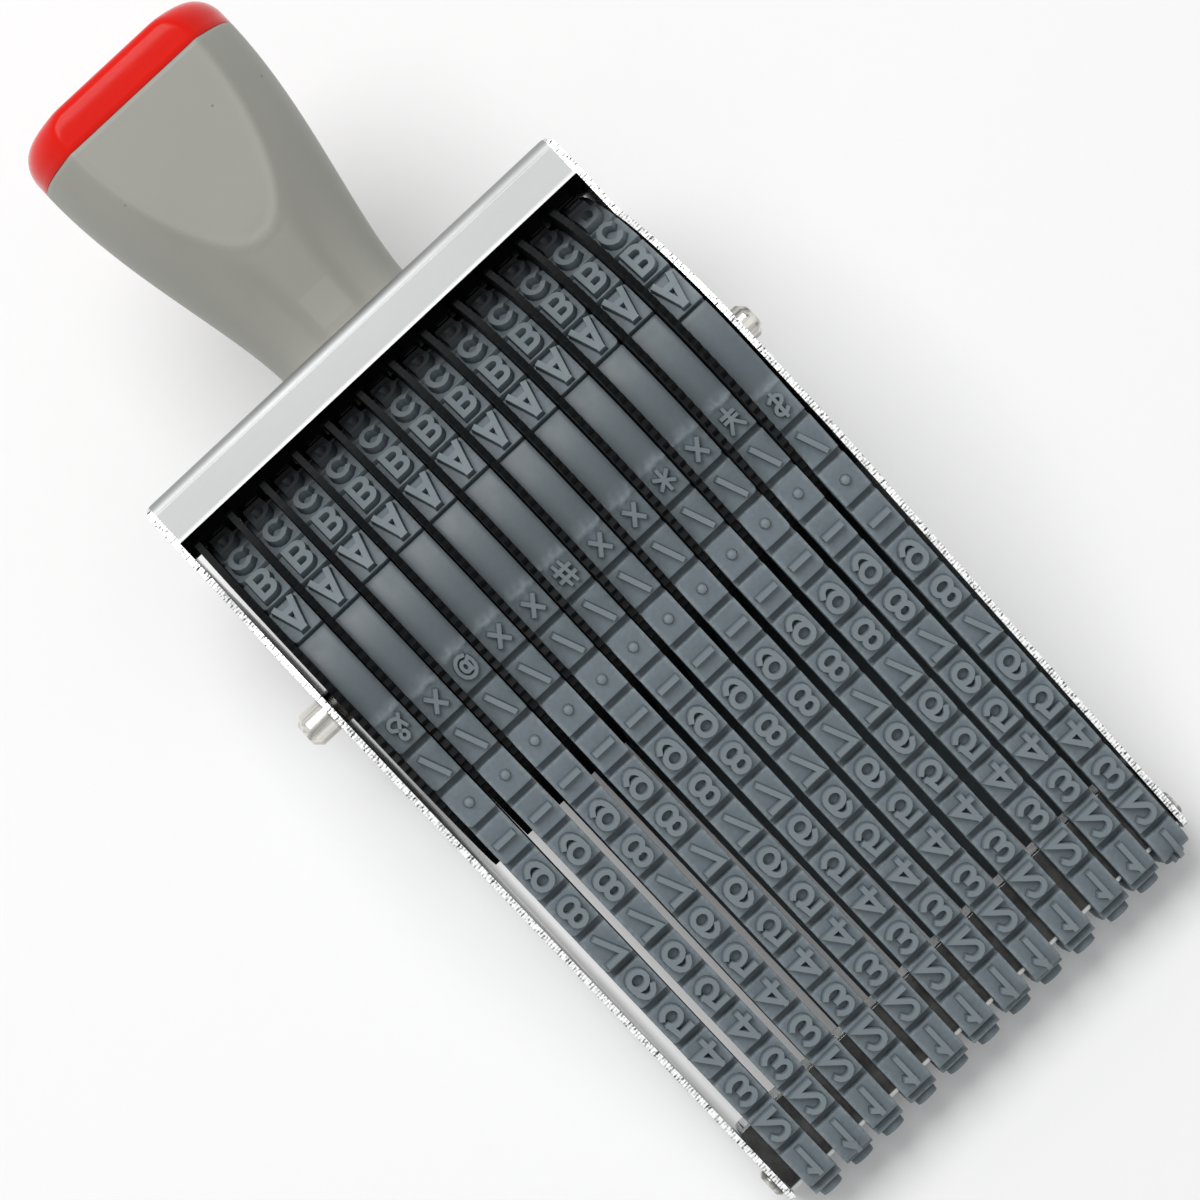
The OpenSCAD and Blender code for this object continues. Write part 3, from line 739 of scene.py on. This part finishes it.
def closed_loft(x, y, z):
    """A skin over a stack of sections, closed by a fan at each end. Returns points and face sets."""
    rows, columns = x.shape
    sides = to_frame(x, y, np.broadcast_to(z[:, None], x.shape)).reshape(-1, 3)
    poles = to_frame(np.zeros(2), np.zeros(2), z[[0, -1]])
    j = np.arange(columns)
    right = (j + 1) % columns
    last = (rows - 1) * columns
    low_fan = np.stack([np.full(columns, rows * columns), right, j], -1)
    high_fan = np.stack([np.full(columns, rows * columns + 1), last + j, last + right], -1)
    return np.concatenate([sides, poles]), [grid_faces(rows, columns, wrap_columns=True), low_fan, high_fan]


def handle_skin(shape, plate_z):
    """The handle: sections that widen from the base to the top by an early smooth step.

    The front and back are cut flat by a soft minimum, with a low bead along the cut's edge. Below it a scoop
    on each side leaves a soft ridge in the middle, and the last level is drawn in to break the upper edge.
    """
    t = np.linspace(0, 1, HANDLE_LEVELS)
    widen = smooth_step(t ** WIDEN_EARLY)
    base, top = np.array(shape.handle_base), np.array(shape.handle_top)
    halves = base + (top - base) * widen[:, None]
    z = shape.handle_height * t
    x, y = section(halves[:, 0], halves[:, 1])
    flat = np.full(len(t), shape.facet)
    distance = from_edge(x, y, z, flat)
    aside = np.abs(x) / halves[:, :1]
    hollow = rise_between(aside, *SCOOP_SPAN[:2]) * (1 - rise_between(aside, *SCOOP_SPAN[2:]))
    below = rise_between(-distance, 0, SCOOP_FADE)
    bead = BEAD * np.exp(-(distance / BEAD_WIDTH) ** 2)
    depth = soft_min(np.abs(y) - SCOOP * hollow * below, flat[:, None], shape.facet_soft) + bead
    y = np.sign(y) * np.where(np.abs(y) < TINY, 0, depth)
    x = np.concatenate([x, x[-1:] * (1 - PARTING / top[0])])
    y = np.concatenate([y, y[-1:] * (1 - PARTING / shape.facet)])
    z = np.r_[z[:-1], z[-1] - PARTING, z[-1]]
    return closed_loft(x, y, plate_z + z)


def cap_skin(shape, plate_z):
    """The cap: an upright wall, shoulders that draw in and fall along a quarter wave, and a flat top."""
    shoulder_in, shoulder_drop = shape.shoulder
    t = np.linspace(0, np.pi / 2, SHOULDER_LEVELS)
    inset = np.r_[PARTING, 0, 0, shoulder_in * (1 - np.cos(t))]
    edge_in = np.r_[PARTING, 0, 0, CAP_EDGE * (1 - np.cos(t)) ** 2]
    wall = shape.cap_height - shoulder_drop
    z = np.r_[0, PARTING, wall / 2, wall + shoulder_drop * np.sin(t)]
    top = np.array(shape.handle_top)
    x, y = section(top[0] - inset, top[1] - inset)
    y = np.sign(y) * soft_min(np.abs(y), (shape.facet - edge_in)[:, None], shape.facet_soft)
    return closed_loft(x, y, plate_z + shape.handle_height + z)


class STAMP_OT_handle(bpy.types.Operator):
    """Make the grey handle and its red cap"""

    bl_idname = "stamp.handle"
    bl_label = "Handle and cap"

    def execute(self, context):
        shape, look = context.scene.stamp_shape, context.scene.stamp_look
        plate_z = AXLE_Z + shape.plate_rise
        points, faces = handle_skin(shape, plate_z)
        finish = handle_finish(look, shape)
        add_piece("moulded_handle", points, faces, finish, "handle", HANDLE_SHARP)
        points, faces = cap_skin(shape, plate_z)
        add_piece("gloss_cap", points, faces, cap_finish(look), "handle_cap", HANDLE_SHARP)
        return {"FINISHED"}


class STAMP_OT_metal(bpy.types.Operator):
    """Break the edges of the frame, the nose plate, the axle and the rivets, and finish the screws"""

    bl_idname = "stamp.metal"
    bl_label = "Metal parts"

    def execute(self, context):
        look = context.scene.stamp_look
        nickel = nickel_finish(look)
        finishes = (chrome_finish(look, context.scene.stamp_shape), nose_finish(look), nickel, nickel)
        for piece, finish in zip(METAL, finishes):
            edged_copy(*piece, finish)
        paint_node("handle_screws", nickel)
        return {"FINISHED"}


class STAMP_OT_wheels(bpy.types.Operator):
    """Finish the twelve serrated thumb wheels"""

    bl_idname = "stamp.wheels"
    bl_label = "Thumb wheels"

    def execute(self, context):
        finish = wheel_finish(context.scene.stamp_look)
        for number in range(BAND_COUNT):
            paint_node(f"wheel_{number + 1:02d}", finish)
        return {"FINISHED"}


def paint_node(node, finish):
    """Gives a CAD node a finish in each of its material slots."""
    for slot in frame["nodes"][node].material_slots:
        slot.material = finish


class Finish:
    """A material with a Principled shader and patterns on Object coordinates, in metres."""

    def __init__(self, name, **values):
        self.material = bpy.data.materials.new(name)
        self.material.use_nodes = True
        self.tree = self.material.node_tree
        self.shader = self.tree.nodes["Principled BSDF"]
        self.where = self.node("ShaderNodeTexCoord").outputs["Object"]
        for key, value in values.items():
            self.shader.inputs[key.replace("_", " ")].default_value = value

    def node(self, kind, **settings):
        made = self.tree.nodes.new(kind)
        for key, value in settings.items():
            setattr(made, key, value)
        return made

    def put(self, socket, value):
        """Links a pattern to a socket, or sets the socket to a value."""
        if isinstance(value, bpy.types.NodeSocket):
            self.tree.links.new(value, socket)
        else:
            socket.default_value = value

    def feed(self, made, **links):
        """Puts values into a node's inputs by name, with _ for a space, and returns its first output."""
        for key, value in links.items():
            self.put(made.inputs[key.replace("_", " ")], value)
        return made.outputs[0]

    def drive(self, **links):
        """Links patterns to the shader's sockets."""
        self.feed(self.shader, **links)

    def noise(self, scale, detail=3.0, roughness=0.5, stretch=(1, 1, 1)):
        spread = self.feed(self.node("ShaderNodeMapping"), Vector=self.where, Scale=stretch)
        made = self.node("ShaderNodeTexNoise")
        return self.feed(made, Vector=spread, Scale=scale, Detail=detail, Roughness=roughness)

    def cells(self, scale):
        """Distance to the nearest of scattered points, and a random value for each."""
        made = self.node("ShaderNodeTexVoronoi")
        self.feed(made, Vector=self.where, Scale=scale)
        return made.outputs["Distance"], made.outputs["Color"]

    def value(self, name):
        return self.node("ShaderNodeAttribute", attribute_name=name).outputs["Fac"]

    def ramp(self, fac, *stops):
        """A colour or grey for each stop, given as place and colour."""
        made = self.node("ShaderNodeValToRGB")
        band = made.color_ramp
        while len(band.elements) < len(stops):
            band.elements.new(0.5)
        for element, (place, colour) in zip(band.elements, stops):
            element.position = place
            colour = (colour,) * 3 if isinstance(colour, (int, float)) else tuple(colour)
            element.color = (*colour, 1)
        return self.feed(made, Fac=fac)

    def mix(self, fac, a, b):
        """Colour a, or b where fac is 1. The node's inputs 6 and 7 and its output 2 are those for colours."""
        made = self.node("ShaderNodeMix", data_type="RGBA")
        self.put(made.inputs[0], fac)
        for socket, value in zip((made.inputs[6], made.inputs[7]), (a, b)):
            self.put(socket, value if isinstance(value, bpy.types.NodeSocket) else (*value, 1))
        return made.outputs[2]

    def math(self, operation, a, b=0.0):
        made = self.node("ShaderNodeMath", operation=operation)
        self.put(made.inputs[0], a)
        self.put(made.inputs[1], b)
        return made.outputs[0]

    def plus(self, a, b):
        return self.math("ADD", a, b)

    def minus(self, a, b):
        return self.math("SUBTRACT", a, b)

    def times(self, a, b):
        return self.math("MULTIPLY", a, b)

    def vector(self, operation, a, b):
        """A vector worked out from two, or their dot product."""
        made = self.node("ShaderNodeVectorMath", operation=operation)
        for socket, value in zip(made.inputs, (a, b)):
            self.put(socket, value if isinstance(value, bpy.types.NodeSocket) else tuple(value))
        return made.outputs["Value" if operation == "DOT_PRODUCT" else "Vector"]

    def dot(self, a, b):
        return self.vector("DOT_PRODUCT", a, b)

    def above(self, z):
        """Height above a level of the stamp's own z."""
        return self.minus(self.dot(self.where, AXES[2]), float(to_frame(0, 0, z) @ AXES[2]))

    def off_middle(self):
        """Distance from the middle along the axle."""
        return self.math("ABSOLUTE", self.dot(self.where, (1, 0, 0)))

    def turned(self, axis):
        """How much the surface looks along one of the stamp's own axes."""
        return self.dot(self.facing(), AXES[axis])

    def facing(self):
        return self.node("ShaderNodeNewGeometry").outputs["Normal"]

    def bump(self, height, strength, distance):
        made = self.node("ShaderNodeBump")
        self.drive(Normal=self.feed(made, Height=height, Strength=strength, Distance=distance))


def shade(colour, factor):
    return tuple(min(1.0, c * factor) for c in colour)


def lip_height(shape):
    """Height of the lower edge of the top plate's front lip."""
    return AXLE_Z + shape.plate_rise - shape.lip


def rubber_finish(look, shape):
    """Slate rubber, worn along edges, with painted shade down the type's sides, in the grooves, over the smooth
    stretch and towards the lip, and paler type tops that are partly painted light.
    """
    made = Finish("slate rubber", Specular_IOR_Level=0.42)
    relief, worn, smooth = (made.value(name) for name in ("relief", "worn", "smooth"))
    # Painted shade: the characters' feet and the web are darker than the pads; the paler tops are partly rubbed
    # rubber and partly painted light
    low, web = shade(look.rubber, 0.28), shade(look.rubber, 0.6)
    tone = made.ramp(relief, (0, low), (WEB_RELIEF, web), (PAD_RELIEF, look.rubber), (1, look.rubber_type))
    cloud = made.noise(260, 4, 0.6)
    tone = made.mix(made.ramp(cloud, (0.3, 0), (0.72, 0.5)), tone, shade(look.rubber, 1.28))
    dust = made.noise(1500, 3, 0.65)
    rub = made.times(worn, made.ramp(dust, (0.35, 0.2), (0.7, 0.85)))
    tone = made.mix(rub, tone, shade(look.rubber_type, 1.3))
    # Painted shade: the smooth stretch is darker than the pads
    tone = made.mix(made.times(smooth, 0.65), tone, shade(look.rubber, 0.66))
    # Painted shade: the rubber darkens over about 24 mm below the front lip's height and is almost black above it,
    # at the front and the back
    near_lip = made.plus(made.times(made.above(lip_height(shape)), 1 / LIP_SHADE_REACH), 1.0)
    lip_shade = made.ramp(
        near_lip, (0.05, 0), (0.45, 0.14), (0.68, 0.32), (0.77, 0.54), (0.82, 0.9), (0.87, 0.97))
    tone = made.mix(lip_shade, tone, shade(look.rubber, 0.05))
    grain = made.noise(4200, 2, 0.5)
    gloss = made.ramp(cloud, (0.25, 0.5), (0.75, 0.66))
    gloss = made.minus(gloss, made.times(smooth, 0.14))
    made.drive(Base_Color=tone, Roughness=gloss)
    made.bump(made.plus(grain, made.times(dust, 0.8)), 0.12, 0.00004)
    return made.material


def handle_finish(look, shape):
    """Warm grey satin plastic with faint clouds, a fine grain, dark specks and a pale mark at the neck."""
    made = Finish("warm grey plastic", Specular_IOR_Level=0.4)
    cloud = made.noise(90, 3, 0.5)
    pale = made.ramp(cloud, (0.35, 0), (0.7, 0.6))
    tone = made.mix(pale, shade(look.handle, 0.96), shade(look.handle, 1.05))
    distance, chance = made.cells(230)
    chosen = made.ramp(chance, (0.6, 0), (0.61, 1))
    speck = made.times(made.ramp(distance, (0.03, 1), (0.055, 0)), chosen)
    tone = made.mix(made.times(speck, 0.7), tone, shade(look.handle, 0.3))
    rise = made.times(made.above(AXLE_Z + shape.plate_rise), 1 / CENTIMETRE)
    across = made.ramp(made.times(made.off_middle(), 1 / CENTIMETRE), (0.22, 1), (0.26, 0))
    patch = made.times(across, made.ramp(rise, (0.1, 0), (0.14, 1), (0.56, 1), (0.6, 0)))
    ahead = made.math("LESS_THAN", made.turned(1), -0.5)
    tone = made.mix(made.times(made.times(patch, ahead), 0.4), tone, shade(look.handle, 1.15))
    grain = made.noise(2600, 2, 0.5)
    made.drive(Base_Color=tone, Roughness=made.ramp(cloud, (0.3, 0.44), (0.7, 0.54)))
    made.bump(grain, 0.05, 0.00004)
    return made.material


def cap_finish(look):
    """Red gloss plastic with slight flow marks and fine handling scratches in its gloss."""
    made = Finish("red gloss plastic", Specular_IOR_Level=0.13)
    flow = made.noise(130, 3, 0.55)
    tone = made.mix(made.ramp(flow, (0.3, 0), (0.75, 1)), shade(look.cap, 0.94), look.cap)
    scratches = made.noise(700, 4, 0.7, (1, 6, 1))
    made.drive(Base_Color=tone, Roughness=made.ramp(scratches, (0.35, 0.14), (0.7, 0.24)))
    made.bump(flow, 0.03, 0.0002)
    return made.material


def wheel_finish(look):
    """Black plastic with a dull grain and a little dust."""
    made = Finish("black plastic", Specular_IOR_Level=0.06)
    dust = made.noise(900, 4, 0.7)
    tone = made.mix(made.ramp(dust, (0.52, 0), (0.8, 0.3)), look.wheel, shade(look.wheel, 3.5))
    made.drive(Base_Color=tone, Roughness=made.ramp(dust, (0.3, 0.34), (0.75, 0.55)))
    made.bump(made.noise(2800, 2, 0.5), 0.1, 0.00003)
    return made.material


def chrome_finish(look, shape):
    """Bright plate with faint waves and smears and pitted, torn metal on cut edges; painted shade makes it nearly
    black inside the fold and darker over the folds, and a painted highlight runs along the front lip's lower edge.

    The inside is where a face looks towards the axle, and the cut edges are the walls' faces that don't look
    sideways. The folds look neither straight up nor straight ahead.
    """
    made = Finish("bright plate", Metallic=1.0)
    smear = made.noise(70, 4, 0.6, (0.4, 1, 1))
    low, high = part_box("frame")
    from_axle = made.vector("SUBTRACT", made.where, (0, *frame["joints"][0]["pos_m"][1:]))
    across = made.vector("MULTIPLY", from_axle, (0, 1, 1))
    inside = made.math("LESS_THAN", made.dot(across, made.facing()), -FOLD_INSIDE)
    sideways = made.math("ABSOLUTE", made.dot(made.facing(), (1, 0, 0)))
    off_middle = made.math("ABSOLUTE", made.dot(from_axle, (1, 0, 0)))
    in_wall = made.math("GREATER_THAN", off_middle, (high[0] - low[0]) / 2 - WALL_BAND)
    cut = made.times(in_wall, made.math("LESS_THAN", sideways, 0.5))
    along = made.dot(made.where, AXES[2])
    ridges = made.math("SINE", made.times(along, 2 * math.pi / RIDGE_STEP))
    pits = made.plus(made.noise(1500, 5, 0.75, (1, 1.5, 1.5)), made.times(ridges, 0.06))
    near_lip = made.plus(made.times(made.above(lip_height(shape)), 1 / LIP_EDGE), 0.5)
    level = made.turned(1)
    ahead = made.math("LESS_THAN", level, -0.3)
    # Painted highlight: a bright band along the front lip's lower edge
    lip_highlight = made.times(ahead, made.ramp(near_lip, (0.4, 0), (0.45, 1), (0.62, 1), (0.8, 0)))
    fold = made.ramp(made.math("ABSOLUTE", made.times(made.turned(2), level)), (0.02, 0), (0.08, 1))
    fold = made.times(fold, made.minus(1.0, cut))
    tone = made.mix(made.ramp(smear, (0.4, 0), (0.7, 0.9)), look.chrome, shade(look.chrome, 0.82))
    # Painted shade: the folds are darker, besides rougher
    tone = made.mix(made.times(fold, 0.9), tone, shade(look.chrome, 0.5))
    tone = made.mix(made.times(cut, made.ramp(pits, (0.38, 1), (0.43, 0))), tone, (0.05, 0.05, 0.05))
    # The lip's painted highlight together with the bright pits of the cut edges
    shine = made.math("MAXIMUM", lip_highlight, made.times(cut, made.ramp(pits, (0.46, 0), (0.52, 1))))
    tone = made.mix(shine, tone, (0.95, 0.95, 0.95))
    # Painted shade: the faces inside the fold are nearly black
    tone = made.mix(made.times(inside, 0.97), tone, (0.012, 0.012, 0.013))
    rough = made.plus(made.ramp(smear, (0.3, 0.14), (0.75, 0.26)), made.times(cut, 0.2))
    rough = made.plus(rough, made.times(fold, 0.35))
    made.drive(Base_Color=tone, Roughness=made.plus(rough, made.times(inside, 0.3)))
    waves = made.times(made.noise(45, 2, 0.4), 0.35)
    torn = made.times(cut, made.times(pits, 2.4))
    made.bump(made.plus(waves, torn), 0.35, 0.0001)
    return made.material


def nose_finish(look):
    """Dark, dull steel on the legs' outer faces, bright inside, and a painted reflection and highlight that make
    it bright along the upper edges and round the bend.
    """
    made = Finish("dark steel with painted reflection", Metallic=1.0)
    aside = made.dot(made.vector("SUBTRACT", made.where, FOOT), AXES[1])
    level = made.turned(1)
    outside = made.math("GREATER_THAN", made.times(aside, level), 0.0)
    front = made.times(made.math("ABSOLUTE", level), outside)
    stain = made.noise(330, 4, 0.6)
    dark = made.mix(made.ramp(stain, (0.35, 0), (0.7, 1)), look.nose, shade(look.nose, 0.45))
    # Painted reflection and highlight: bright plate wherever a face is not an outer face of a leg
    tone = made.mix(made.ramp(front, (0.88, 0), (0.965, 1)), shade(look.chrome, 0.8), dark)
    inside = made.minus(1.0, outside)
    rough = made.plus(made.ramp(stain, (0.3, 0.2), (0.7, 0.34)), made.times(inside, 0.14))
    made.drive(Base_Color=tone, Roughness=rough)
    made.bump(made.noise(1500, 3, 0.6), 0.03, 0.00003)
    return made.material


def nickel_finish(look):
    """Slightly warm nickel with dark and bright streaks along the axle, and darker between the walls and next to
    them.
    """
    made = Finish("nickel plate", Metallic=1.0)
    streaks = made.noise(620, 3, 0.55, (0.06, 1, 1))
    dark = made.ramp(streaks, (0.4, 0), (0.62, 1))
    tone = made.mix(dark, shade(look.nickel, 1.35), shade(look.nickel, 0.3))
    low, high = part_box("frame")
    from_wall = made.times(made.minus(made.off_middle(), (high[0] - low[0]) / 2), 1 / MM)
    # Darker within the walls and up to 0.7 mm past them
    dark_by_walls = made.ramp(from_wall, (0.0, 0.85), (0.35, 0.6), (0.7, 0.0))
    tone = made.mix(dark_by_walls, tone, (0.03, 0.028, 0.025))
    marks = made.noise(1600, 3, 0.6, (3, 0.6, 0.6))
    made.drive(Base_Color=tone, Roughness=made.ramp(marks, (0.3, 0.18), (0.75, 0.32)))
    made.bump(marks, 0.1, 0.00004)
    return made.material


def floor_mesh(half):
    """A flat square floor at the frame's zero height, as a grid of places from -half to half."""
    line = np.linspace(-half, half, FLOOR_POINTS)
    x, y = np.meshgrid(line, line)
    points = np.stack([x, y, np.zeros_like(x)], -1).reshape(-1, 3)
    mesh = bpy.data.meshes.new("studio_floor")
    mesh.from_pydata(points.tolist(), [], grid_faces(FLOOR_POINTS, FLOOR_POINTS).tolist())
    return mesh


def background_rays(tree):
    """1 for rays from the camera and for those that shine or let light through, 0 for the rest."""
    path = tree.nodes.new("ShaderNodeLightPath")
    seen = path.outputs["Is Camera Ray"]
    for output in ("Is Glossy Ray", "Is Transmission Ray"):
        both = tree.nodes.new("ShaderNodeMath")
        both.operation = "MAXIMUM"
        tree.links.new(seen, both.inputs[0])
        tree.links.new(path.outputs[output], both.inputs[1])
        seen = both.outputs[0]
    return seen


def floor_finish(look):
    """Pale matt card with a faint grain, lifted towards white as a background, so that shadows stay soft.

    It glows more, as painted light, where it shows between the first bands, less so from the left wall towards the
    middle.
    """
    made = Finish("pale card", Specular_IOR_Level=0.2, Roughness=0.9)
    aside = made.dot(made.vector("SUBTRACT", made.where, FOOT), AXES[0])
    aside = made.times(made.plus(aside, PAINTED_LIGHT_START), 1 / PAINTED_LIGHT_WIDTH)
    # Painted light: the floor glows more in a stretch under the stamp, seen between the first bands
    under = made.ramp(aside, (0.045, 0), (0.065, 0.6), (0.1, 0.55), (0.21, 0.29), (0.32, 0.145), (0.44, 0))
    along = made.times(made.above(0), 1 / PAINTED_LIGHT_LENGTH)
    behind = made.ramp(along, (0, 0), (0.06, 0.7), (0.45, 1), (0.54, 1), (0.66, 0))
    grain = made.noise(300, 3, 0.5)
    made.drive(Base_Color=made.mix(grain, shade(look.floor, 0.995), shade(look.floor, 1.005)))
    lift = made.plus(made.times(under, behind), FLOOR_LIFT)
    lift = made.times(background_rays(made.tree), lift)
    both = made.node("ShaderNodeMixShader")
    glow = made.feed(made.node("ShaderNodeEmission"), Strength=1.0)
    for socket, value in zip(both.inputs, (lift, made.shader.outputs[0], glow)):
        made.put(socket, value)
    made.put(made.tree.nodes["Material Output"].inputs["Surface"], both.outputs[0])
    return made.material


def studio_world():
    """Even light for surfaces, and plain white for the camera and for what shines or lets light through."""
    world = bpy.data.worlds.new("studio")
    world.use_nodes = True
    tree = world.node_tree
    level = tree.nodes.new("ShaderNodeMapRange")
    level.inputs["To Min"].default_value = WORLD_LEVEL
    level.inputs["To Max"].default_value = 1.0
    tree.links.new(background_rays(tree), level.inputs["Value"])
    tree.links.new(level.outputs["Result"], tree.nodes["Background"].inputs["Strength"])
    tree.nodes["Background"].inputs["Color"].default_value = (1, 1, 1, 1)
    return world


def aim(place, target, roll=0.0):
    """A pose at place that looks at target along -Z, turned by roll about the line of sight."""
    view = unit(target - place)
    right = unit(np.cross(view, AXES[2]))
    up = np.cross(right, view)
    c, s = math.cos(roll), math.sin(roll)
    columns = np.eye(4)
    columns[:3, 0] = c * right - s * up
    columns[:3, 1] = s * right + c * up
    columns[:3, 2] = -view
    columns[:3, 3] = place
    return Matrix(columns.tolist())


class STAMP_OT_stage(bpy.types.Operator):
    """Make the floor, the soft lights and the camera"""

    bl_idname = "stamp.stage"
    bl_label = "Studio"

    def execute(self, context):
        scene = context.scene
        floor = bpy.data.objects.new("studio_floor", floor_mesh(FLOOR_HALF))
        floor.data.materials.append(floor_finish(scene.stamp_look))
        scene.collection.objects.link(floor)
        scene.world = studio_world()
        middle = to_frame(0, 0, SIGHT_HEIGHT)
        for name, place, size, power in LAMPS:
            data = bpy.data.lights.new(name, "AREA")
            data.shape = "RECTANGLE"
            data.size, data.size_y = size
            data.energy = power
            lamp = bpy.data.objects.new(name, data)
            lamp.matrix_world = aim(np.array(place), middle)
            scene.collection.objects.link(lamp)
        data = bpy.data.cameras.new("photo_camera")
        data.lens = LENS
        data.sensor_width = SENSOR
        data.clip_end = FAR_CLIP
        camera = bpy.data.objects.new("photo_camera", data)
        eye, target = to_frame(*CAMERA_PLACE), to_frame(*CAMERA_TARGET)
        camera.matrix_world = aim(eye, target, math.radians(CAMERA_ROLL))
        scene.collection.objects.link(camera)
        scene.camera = camera
        scene.view_settings.view_transform = "Standard"
        return {"FINISHED"}


class STAMP_PT_panel(bpy.types.Panel):
    """Lists the stamp's sizes, colours and pieces"""

    bl_label = "Roller stamp"
    bl_idname = "STAMP_PT_panel"
    bl_space_type = "VIEW_3D"
    bl_region_type = "UI"
    bl_category = "Stamp"

    def draw(self, context):
        layout = self.layout
        for group in (context.scene.stamp_shape, context.scene.stamp_look):
            box = layout.box()
            for key in group.__annotations__:
                box.prop(group, key)
        for operator in OPERATORS:
            layout.operator(operator.bl_idname)


OPERATORS = (STAMP_OT_bands, STAMP_OT_handle, STAMP_OT_metal, STAMP_OT_wheels, STAMP_OT_stage)
CLASSES = (StampShape, StampLook, *OPERATORS, STAMP_PT_panel)


def register():
    for made in CLASSES:
        bpy.utils.register_class(made)
    bpy.types.Scene.stamp_shape = bpy.props.PointerProperty(type=StampShape)
    bpy.types.Scene.stamp_look = bpy.props.PointerProperty(type=StampLook)


def unregister():
    del bpy.types.Scene.stamp_look
    del bpy.types.Scene.stamp_shape
    for made in reversed(CLASSES):
        bpy.utils.unregister_class(made)


def main():
    register()
    bpy.ops.stamp.bands()
    bpy.ops.stamp.handle()
    bpy.ops.stamp.metal()
    bpy.ops.stamp.wheels()
    bpy.ops.stamp.stage()


if __name__ == "__main__":
    main()
